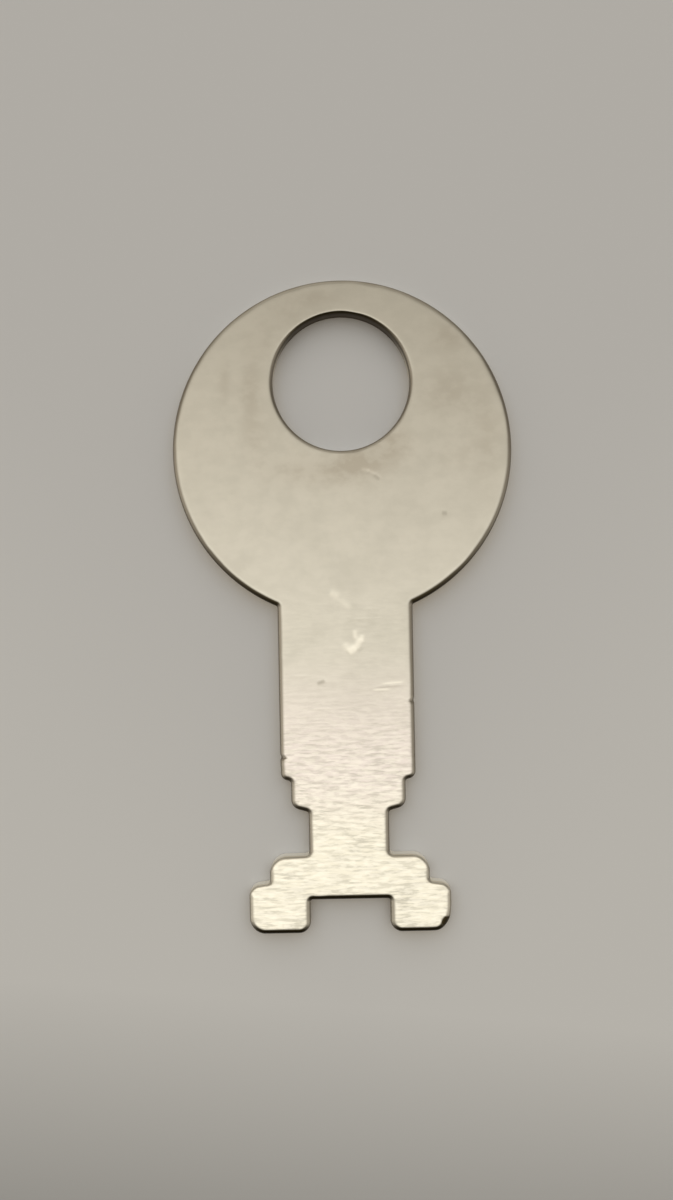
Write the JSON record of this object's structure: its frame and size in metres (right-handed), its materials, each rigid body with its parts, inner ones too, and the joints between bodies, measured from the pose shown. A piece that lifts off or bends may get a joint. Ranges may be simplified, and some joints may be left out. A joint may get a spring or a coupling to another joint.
{
  "type": "piggy bank key",
  "caption": "Flat stamped metal key for a toy bank: round bow with a ring hole, straight shank with stepped shoulders, narrow neck and a notched T-shaped bit with rounded feet.",
  "frame": {"origin": "on the underside, at the middle of the key's bounding box: halfway along the key, on its centre line", "axes": "+Y along the key from the bit to the bow, +X to the right seen from above, +Z out of the upper face"},
  "size_m": [0.0198, 0.0382, 0.0012],
  "materials": {
    "nickel_plate": "thin bright nickel plate over steel, rolled smooth at the bow, brushed across at the bit, dark sheared edges"
  },
  "bodies": {
    "root": {"flat_key": "nickel_plate"}
  },
  "joints": []
}
